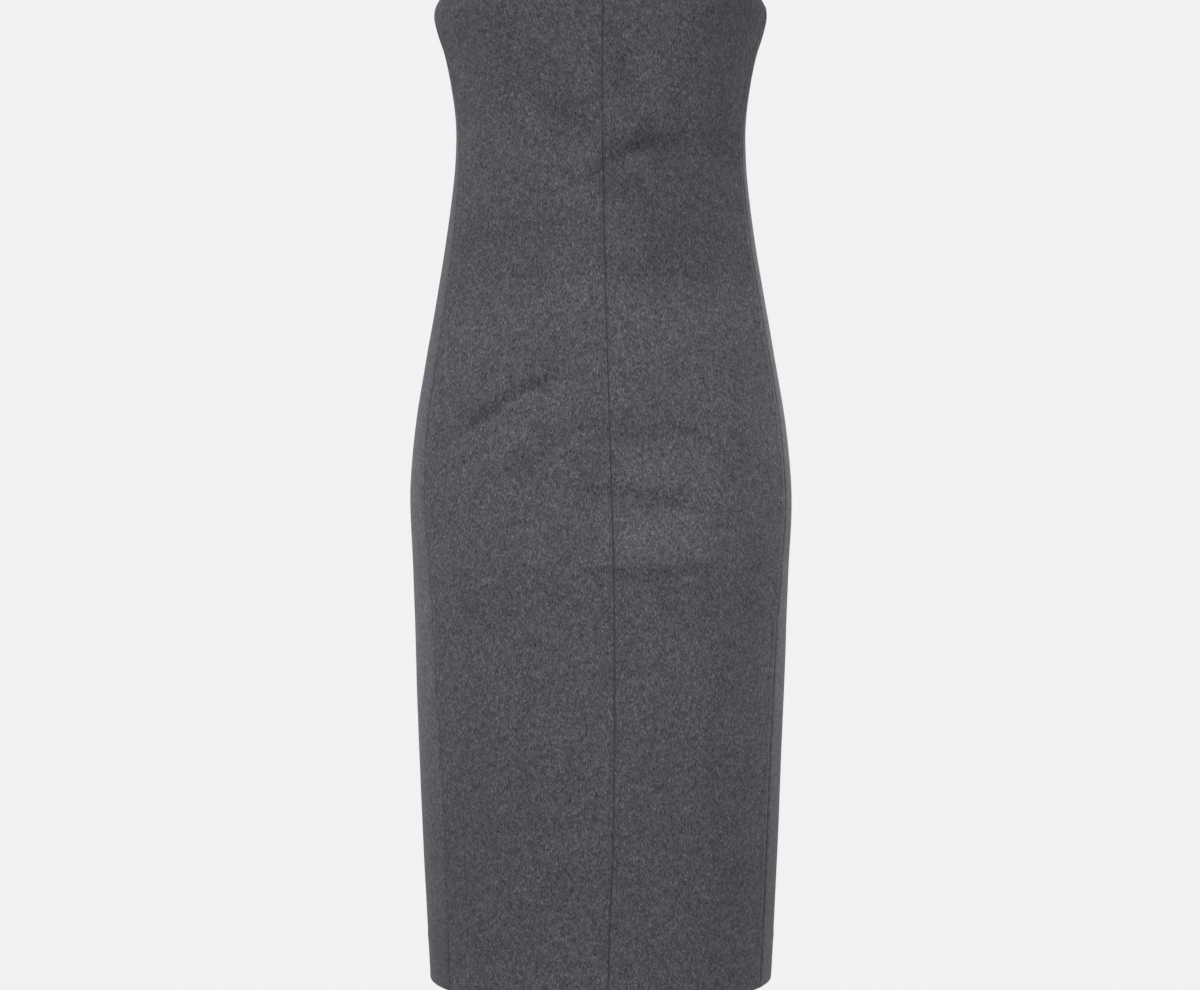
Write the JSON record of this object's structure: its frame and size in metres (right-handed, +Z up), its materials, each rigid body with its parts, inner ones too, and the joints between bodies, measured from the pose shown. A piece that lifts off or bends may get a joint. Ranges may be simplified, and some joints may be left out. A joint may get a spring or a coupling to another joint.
{
  "type": "bandeau dress",
  "caption": "Bandeau dress of column shape and midi length in wool flannel, in its worn hollow form, open at top and hem, with a concealed back zip that has a pull tab.",
  "frame": {"origin": "middle of the top opening at underarm level, where the wearer's chest holds the dress up", "axes": "+Z up along the wearer, -Y towards the front, +X towards the wearer's left"},
  "size_m": [0.3498, 0.2424, 0.9261],
  "materials": {
    "wool_flannel": "dark grey heathered wool flannel with a short soft nap",
    "zip_tape": "fine woven dark grey zip tape",
    "zip_enamel": "dark grey enamel on zinc, satin"
  },
  "bodies": {
    "dress": {"front_left_panel": "wool_flannel", "front_right_panel": "wool_flannel", "back_left_panel": "wool_flannel", "back_right_panel": "wool_flannel", "zip_tape_left": "zip_tape", "zip_tape_right": "zip_tape", "zip_slider": "zip_enamel"},
    "pull": {"zip_pull": "zip_enamel"}
  },
  "joints": [
    {"name": "pull_swing", "type": "hinge", "parent": "dress", "child": "pull", "pos_m": [0, 0.10368, -0.03501], "axis": [1, 0, 0], "range_deg": [-8, 165]}
  ]
}
